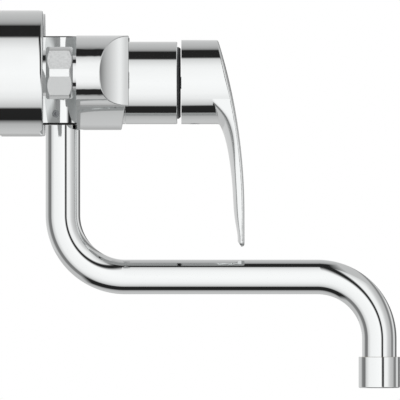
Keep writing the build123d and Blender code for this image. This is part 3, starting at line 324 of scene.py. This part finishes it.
def start_finish(name, colour, metallic, roughness):
    """A new material: its node tree, its surface coordinates and its shader."""
    material = bpy.data.materials.new(name)
    material.use_nodes = True
    tree = material.node_tree
    tree.nodes.clear()
    place = add_node(tree, "ShaderNodeTexCoord").outputs["Object"]
    inputs = {"Base Color": (*colour, 1), "Metallic": metallic, "Roughness": roughness}
    shader = add_node(tree, "ShaderNodeBsdfPrincipled", inputs)
    add_node(tree, "ShaderNodeOutputMaterial", {"Surface": shader.outputs[0]})
    return material, tree, place, shader


def mottle(tree, place, per_metre, detail, stretch=(1, 1, 1)):
    """Soft random patches from 0 to 1, so many to the metre."""
    stretched = add_node(tree, "ShaderNodeMapping", {"Vector": place, "Scale": stretch}).outputs[0]
    noise = {"Vector": stretched, "Scale": per_metre, "Detail": detail}
    return add_node(tree, "ShaderNodeTexNoise", noise).outputs["Fac"]


def between(tree, noise, low, high):
    """Spreads noise over low to high."""
    inputs = {"Value": noise, "From Min": NOISE_LOW, "From Max": NOISE_HIGH}
    inputs |= {"To Min": low, "To Max": high}
    return add_node(tree, "ShaderNodeMapRange", inputs).outputs[0]


def roughen(tree, shader, height, depth, strength):
    """Gives a surface its fine relief; depth is in millimetres."""
    inputs = {"Height": height, "Distance": depth * MM, "Strength": strength}
    bumpy = add_node(tree, "ShaderNodeBump", inputs).outputs[0]
    tree.links.new(bumpy, shader.inputs["Normal"])


def mottled_finish(name, colour, metallic, gloss, grain=None):
    """A finish whose gloss varies in soft patches, and which may have a fine grain. Both begin
    with the patches to the metre and how fine they are. Gloss goes on with the least and the
    greatest roughness, and grain with its depth in millimetres and its strength."""
    per_metre, detail, smooth, rough = gloss
    material, tree, place, shader = start_finish(name, colour, metallic, rough)
    gloss_here = between(tree, mottle(tree, place, per_metre, detail), smooth, rough)
    tree.links.new(gloss_here, shader.inputs["Roughness"])
    if grain:
        per_metre, detail, depth, strength = grain
        roughen(tree, shader, mottle(tree, place, per_metre, detail), depth, strength)
    return material


chrome = mottled_finish("polished_chrome", CHROME, 1.0, CHROME_WIPING, CHROME_RIPPLE)

groove = draw_line("thread_groove", [
    (0, 0, THREAD_ROOT), (GROOVE_WIDTH / 2, 0, GROOVE_TOP), (-GROOVE_WIDTH / 2, 0, GROOVE_TOP)])
object_mode_with(groove)
screw = groove.modifiers.new("thread", "SCREW")
screw.axis = "X"
screw.screw_offset = THREAD_PITCH
screw.iterations = THREAD_TURNS
screw.steps = screw.render_steps = THREAD_STEPS
screw.use_merge_vertices = True
screw.merge_threshold = WELD
apply_all(groove)
bpy.ops.object.mode_set(mode="EDIT")
bpy.ops.mesh.select_all(action="DESELECT")
bpy.ops.mesh.select_non_manifold()
bpy.ops.mesh.edge_face_add()
bpy.ops.mesh.select_all(action="SELECT")
bpy.ops.mesh.normals_make_consistent(inside=False)

for side, y in SIDES.items():
    # the CAD's own union is left alone: its copy, without the frame's marks, is cut
    object_mode_with(nodes[side + "_wall_union"])
    bpy.ops.object.duplicate()
    union = bpy.context.object
    union.name = side + "_threaded_union"
    for mark in list(union.keys()):
        del union[mark]
    bpy.ops.object.mode_set(mode="EDIT")
    close_up(union)
    bpy.ops.mesh.customdata_custom_splitnormals_clear()
    groove.location = (-THREAD_RUNOUT - THREAD_TURNS * THREAD_PITCH, y, 0)
    cut_with(union, groove, "DIFFERENCE")
    bpy.ops.object.shade_smooth_by_angle(angle=SHARP_EDGE)
    stand_for(union, "body", "polished_chrome", chrome, side + "_wall_union")
    cover_with(chrome, nodes[side + "_inlet_tail"])
bpy.data.objects.remove(groove)

# ---- Rosettes ------------------------------------------------------------------------------
# A deep cup of drawn brass slides over each union and hides the wall behind it. It is polished
# and chrome plated, with a bevelled front edge and an open back. Its front is only ground.
ROSETTE = [
    (0, 36), (23.2, 36), (25.1, 35.8), (25.5, 35.4), (25.5, 13.47), (24.2, 13.47),
    (24.2, 33.75), (23.25, 34.7), (0, 34.7),
]
ROSETTE_EDGE = 0.1
GROUND_ROUGHER = 0.34
GROUND_WHERE_FLATTER_THAN = 0.98


def turned(name, points, centre, axis, steps):
    """Turns a closed line about an axis through a centre."""
    piece = draw_line(name, points)
    bpy.ops.mesh.select_all(action="SELECT")
    bpy.ops.mesh.spin(steps=steps, angle=2 * pi, center=centre, axis=axis)
    close_up(piece)
    return piece


def turned_x(name, stations, y, z, steps):
    """A ring-shaped piece about the line along X through (y, z), from (x, radius) in mm."""
    points = [(x * MM, y, z + r * MM) for x, r in stations]
    return turned(name, points, (0, y, z), (1, 0, 0), steps)


def soften(piece, width, sharper_than=25):
    """Breaks the sharp edges as polishing does, and leaves flats flat and round faces round."""
    object_mode_with(piece)
    bpy.ops.object.shade_smooth()
    bevel = piece.modifiers.new("edges", "BEVEL")
    bevel.width = width * MM
    bevel.segments = 3
    bevel.limit_method = "ANGLE"
    bevel.angle_limit = radians(sharper_than)
    bevel.use_clamp_overlap = False
    weigh = piece.modifiers.new("flats", "WEIGHTED_NORMAL")
    weigh.keep_sharp = True
    apply_all(piece)


def both_sides(piece):
    """A piece made for the hot side, and its copy, with a mesh of its own, for the cold side."""
    object_mode_with(piece)
    bpy.ops.object.duplicate()
    copy = bpy.context.object
    name = piece.name
    piece.name, copy.name = "hot_" + name, "cold_" + name
    copy.location.y = SIDES["cold"] - SIDES["hot"]
    bpy.ops.object.transform_apply(location=True)
    return {"hot": piece, "cold": copy}


def ground_chrome(name, facing):
    """Chrome that is mirror bright, except that flats facing along X as told are only ground."""
    material = mottled_finish(name, CHROME, 1.0, CHROME_WIPING, CHROME_RIPPLE)
    tree = material.node_tree
    roughness = tree.nodes["Principled BSDF"].inputs["Roughness"]
    normal = add_node(tree, "ShaderNodeTexCoord").outputs["Normal"]
    along_x = add_node(tree, "ShaderNodeSeparateXYZ", {"Vector": normal}).outputs["X"]
    flat = work_out(tree, "MULTIPLY", along_x, facing)
    flat = work_out(tree, "GREATER_THAN", flat, GROUND_WHERE_FLATTER_THAN)
    polished = roughness.links[0].from_socket
    tree.links.new(work_out(tree, "MULTIPLY_ADD", flat, GROUND_ROUGHER, polished), roughness)
    return material


ground_in_front = ground_chrome("chrome_ground_in_front", 1)
rosette = turned_x("rosette_cup", ROSETTE, SIDES["hot"], INLET_Z, steps=192)
soften(rosette, ROSETTE_EDGE, sharper_than=40)
for side, cup in both_sides(rosette).items():
    stand_for(cup, "body", "polished_chrome", ground_in_front, side + "_rosette")

# ---- Union nuts ----------------------------------------------------------------------------
# Hexagon nuts of brass, 30 mm across the flats, their corners turned down in the lathe before
# plating. They pull the tails against the unions.
NUT_ACROSS_FLATS = 30
NUT_BACK = 27.4
NUT_FRONT = 42.8
NUT_TURNING = [
    (NUT_BACK, 14.3), (29.3, 16.2), (40.9, 16.2), (NUT_FRONT, 14.3), (NUT_FRONT, 10.08),
    (39.1, 10.08), (39.1, 13.3), (NUT_BACK, 13.3),
]
NUT_EDGE = 0.2
BAR_STOCK_SPARE = 2

sandy_chrome = mottled_finish(
    "sandy_chrome", CHROME, 1.0, gloss=(900, 4, 0.1, 0.24), grain=(2400, 3, 0.02, 0.5))

nut = turned_x("hexagon_nut", NUT_TURNING, SIDES["hot"], INLET_Z, steps=96)
bpy.ops.object.select_all(action="DESELECT")
bpy.ops.mesh.primitive_cylinder_add(
    vertices=6, radius=NUT_ACROSS_FLATS / sqrt(3) * MM,
    depth=(NUT_FRONT - NUT_BACK + BAR_STOCK_SPARE) * MM,
    location=((NUT_BACK + NUT_FRONT) / 2 * MM, SIDES["hot"], INLET_Z), rotation=(0, pi / 2, 0))
bar_stock = bpy.context.object
bpy.ops.object.transform_apply(location=True, rotation=True)
cut_with(nut, bar_stock, "INTERSECT")
bpy.data.objects.remove(bar_stock)
soften(nut, NUT_EDGE)
for side, hexagon in both_sides(nut).items():
    stand_for(hexagon, "body", "polished_chrome", sandy_chrome, side + "_union_nut")

# ---- Washers -------------------------------------------------------------------------------
# Flat rings of pressed red fibre, squeezed between each union and its tail. They keep the CAD's
# own shape and get the fibre's mottled colour.
FIBRE = (0.36, 0.12, 0.09)
FIBRE_DARK = (0.27, 0.08, 0.06)
FIBRE_LIGHT = (0.45, 0.17, 0.12)


def blend_colours(tree, noise, first, second):
    """A colour that wanders between two."""
    ramp = add_node(tree, "ShaderNodeValToRGB", {"Fac": noise})
    places = (NOISE_LOW, NOISE_HIGH)
    for stop, position, colour in zip(ramp.color_ramp.elements, places, (first, second)):
        stop.position = position
        stop.color = (*colour, 1)
    return ramp.outputs["Color"]


fibre, tree, place, shader = start_finish("washer_fibre", FIBRE, metallic=0.0, roughness=0.75)
felt = mottle(tree, place, per_metre=900, detail=6)
felt_colour = blend_colours(tree, felt, FIBRE_DARK, FIBRE_LIGHT)
tree.links.new(felt_colour, shader.inputs["Base Color"])
fuzz = mottle(tree, place, per_metre=2200, detail=3)
roughen(tree, shader, fuzz, depth=0.05, strength=0.6)
cover_with(fibre, nodes["hot_washer"], nodes["cold_washer"])

# ---- Body casting --------------------------------------------------------------------------
# One brass casting, ground, polished and chrome plated: the bar between the inlets, the hub
# that carries the spout and the round neck that holds the cartridge. Its back is only ground.
cover_with(ground_chrome("chrome_ground_behind", -1), nodes["body_casting"])

# ---- Shroud --------------------------------------------------------------------------------
# A turned and plated sleeve pushed over the neck, where a rubber ring holds it. The tap's other
# seals are of the same black rubber.
SHROUD = [
    (72.7, 23.9), (102.4, 23.9), (102.8, 23.5), (102.8, 21.0), (101.1, 21.0), (101.1, 22.5),
    (72.7, 22.5),
]
SHROUD_EDGE = 0.15
CARTRIDGE_Z = -13.2 * MM
RUBBER = (0.02, 0.02, 0.021)
RUBBER_NODES = ("shroud_o_ring", "port_seals", "spout_o_rings", "aerator_washer")

shroud = turned_x("shroud_sleeve", SHROUD, 0, CARTRIDGE_Z, steps=160)
soften(shroud, SHROUD_EDGE)
stand_for(shroud, "body", "polished_chrome", chrome, "shroud")
rubber = mottled_finish(
    "seal_rubber", RUBBER, 0.0, gloss=(500, 4, 0.35, 0.55), grain=(3000, 2, 0.01, 0.4))
cover_with(rubber, *[nodes[name] for name in RUBBER_NODES])

# ---- Cover ring ----------------------------------------------------------------------------
# A moulded ring of satin dark grey plastic closes the gap between shroud and lever, where the
# lever tilts. It is pushed on to the shroud's end.
COVER = [
    (98.8, 15.0), (101.2, 15.0), (101.2, 20.8), (103.8, 20.8), (104.8, 19.8), (104.8, 15.4),
    (103.0, 15.4), (103.0, 14.2), (98.8, 14.2),
]
COVER_EDGE = 0.2
DARK_GREY = (0.045, 0.047, 0.05)

dark_plastic = mottled_finish(
    "dark_plastic", DARK_GREY, 0.0, gloss=(700, 3, 0.36, 0.5), grain=(4000, 2, 0.01, 0.5))
cover_ring = turned_x("cover_ring_moulding", COVER, 0, CARTRIDGE_Z, steps=128)
soften(cover_ring, COVER_EDGE)
stand_for(cover_ring, "body", "dark_plastic", dark_plastic, "cover_ring")

# ---- Cartridge -----------------------------------------------------------------------------
# The works, held in the neck by a threaded brass nut: a plastic housing with two lapped ceramic
# discs, the slide that carries the upper one, the rotor and the steel spindle in it.
BRASS = (0.72, 0.53, 0.27)
BRASS_DARK = (0.66, 0.47, 0.22)
BRASS_LIGHT = (0.78, 0.60, 0.33)
MARKS_ROUND_X = (3, 0.1, 0.1)
ACETAL = (0.75, 0.76, 0.76)
ACETAL_NODES = ("cartridge_base", "cartridge_housing", "cartridge_rotor", "disc_carrier")
CERAMIC = (0.88, 0.87, 0.83)
CERAMIC_DARK = (0.83, 0.82, 0.78)
CERAMIC_LIGHT = (0.91, 0.90, 0.86)
STEEL = (0.55, 0.56, 0.58)

turned_brass, tree, place, shader = start_finish(
    "turned_brass", BRASS, metallic=1.0, roughness=0.28)
tarnish = mottle(tree, place, per_metre=140, detail=4)
brass_colour = blend_colours(tree, tarnish, BRASS_DARK, BRASS_LIGHT)
tree.links.new(brass_colour, shader.inputs["Base Color"])
tool_marks = mottle(tree, place, per_metre=900, detail=2, stretch=MARKS_ROUND_X)
brass_gloss = between(tree, tool_marks, low=0.2, high=0.36)
tree.links.new(brass_gloss, shader.inputs["Roughness"])
roughen(tree, shader, tool_marks, depth=0.02, strength=0.5)

lapped_ceramic, tree, place, shader = start_finish(
    "lapped_ceramic", CERAMIC, metallic=0.0, roughness=0.16)
speckle = mottle(tree, place, per_metre=5000, detail=2)
ceramic_colour = blend_colours(tree, speckle, CERAMIC_DARK, CERAMIC_LIGHT)
tree.links.new(ceramic_colour, shader.inputs["Base Color"])

acetal = mottled_finish(
    "moulded_acetal", ACETAL, 0.0, gloss=(350, 4, 0.33, 0.48), grain=(2600, 2, 0.01, 0.4))
steel = mottled_finish(
    "bright_steel", STEEL, 1.0, gloss=(1200, 2, 0.18, 0.32), grain=(3000, 2, 0.006, 0.4))
cover_with(turned_brass, nodes["cartridge_nut"])
cover_with(acetal, *[nodes[name] for name in ACETAL_NODES])
cover_with(lapped_ceramic, nodes["fixed_ceramic_disc"], nodes["moving_ceramic_disc"])
cover_with(steel, nodes["pivot_pin"], nodes["lever_spindle"])

# ---- Lever ---------------------------------------------------------------------------------
# One plated casting, which keeps the CAD's own shape: a round cap over the cartridge and a long
# crowned blade that hangs from it. A grub screw behind a grey plug clamps it to the spindle.
PLUG_GREY = (0.30, 0.31, 0.32)
plug_plastic = mottled_finish("plug_plastic", PLUG_GREY, 0.0, gloss=(900, 4, 0.22, 0.36))
cover_with(chrome, nodes["lever"])
cover_with(steel, nodes["lever_grub_screw"])
cover_with(plug_plastic, nodes["lever_plug"])

# ---- Spout ---------------------------------------------------------------------------------
# Drawn brass tube bent twice and chrome plated, brazed into a brass sleeve that turns in the
# hub between two plastic glide rings. A small steel screw keeps it in.
SPOUT_X = 36.5
OUTLET_X = 220
TUBE_R = 10
TUBE_WALL = 1
BEND_R = 36
TUBE_TOP = -10.3
RUN_Z = -125.7
TUBE_END = -172.1
TUBE_STEPS = 96
BEND_STEPS = 64
TUBE_EDGE = 0.1
GLIDE = (0.80, 0.79, 0.74)


def pull(x, z):
    """Draws the open end of the tube on in a straight line, in millimetres."""
    bpy.ops.mesh.extrude_edges_move(TRANSFORM_OT_translate={"value": (x * MM, 0, z * MM)})


def bend(angle, x, z):
    """Draws the open end of the tube on round a bend about (x, z), in millimetres."""
    centre = (x * MM, 0, z * MM)
    bpy.ops.mesh.spin(steps=BEND_STEPS, angle=angle, center=centre, axis=(0, 1, 0))


object_mode_with()
bpy.ops.mesh.primitive_circle_add(
    vertices=TUBE_STEPS, radius=TUBE_R * MM, location=(SPOUT_X * MM, 0, TUBE_TOP * MM))
tube = bpy.context.object
tube.name = "spout_pipe"
bpy.ops.object.transform_apply(location=True)
bpy.ops.object.mode_set(mode="EDIT")
bpy.ops.mesh.select_all(action="SELECT")
pull(0, RUN_Z + BEND_R - TUBE_TOP)
bend(pi / 2, SPOUT_X + BEND_R, RUN_Z + BEND_R)
pull(OUTLET_X - SPOUT_X - 2 * BEND_R, 0)
bend(-pi / 2, OUTLET_X - BEND_R, RUN_Z - BEND_R)
pull(0, TUBE_END - RUN_Z + BEND_R)
close_up(tube)
wall = tube.modifiers.new("wall", "SOLIDIFY")
wall.thickness = TUBE_WALL * MM
wall.offset = -1
soften(tube, TUBE_EDGE)
stand_for(tube, "spout", "polished_chrome", chrome, "spout_tube")

glide = mottled_finish("glide_plastic", GLIDE, 0.0, gloss=(600, 4, 0.3, 0.46))
cover_with(turned_brass, nodes["spout_sleeve"], nodes["outlet_nipple"])
cover_with(glide, nodes["spout_glide_rings"])
cover_with(steel, nodes["spout_keeper_screw"])

# ---- Aerator -------------------------------------------------------------------------------
# A plated brass housing screwed on the outlet holds a washer, a steel screen and the plastic
# insert whose holes break the water into a soft jet.
AERATOR = [
    (-190.1, 9.33), (-190.1, 11.5), (-189.6, 12), (-172.1, 12), (-172.1, 11.03),
    (-188.5, 11.03), (-188.5, 9.33),
]
AERATOR_EDGE = 0.15
AERATOR_GREY = (0.70, 0.71, 0.70)

outline = [(OUTLET_X * MM + r * MM, 0, z * MM) for z, r in AERATOR]
aerator = turned("aerator_sleeve", outline, (OUTLET_X * MM, 0, 0), (0, 0, 1), steps=128)
soften(aerator, AERATOR_EDGE)
stand_for(aerator, "spout", "polished_chrome", chrome, "aerator_housing")
aerator_plastic = mottled_finish(
    "aerator_plastic", AERATOR_GREY, 0.0, gloss=(500, 4, 0.35, 0.5), grain=(2600, 2, 0.01, 0.4))
cover_with(aerator_plastic, nodes["aerator_insert"])
cover_with(steel, nodes["aerator_screen"])
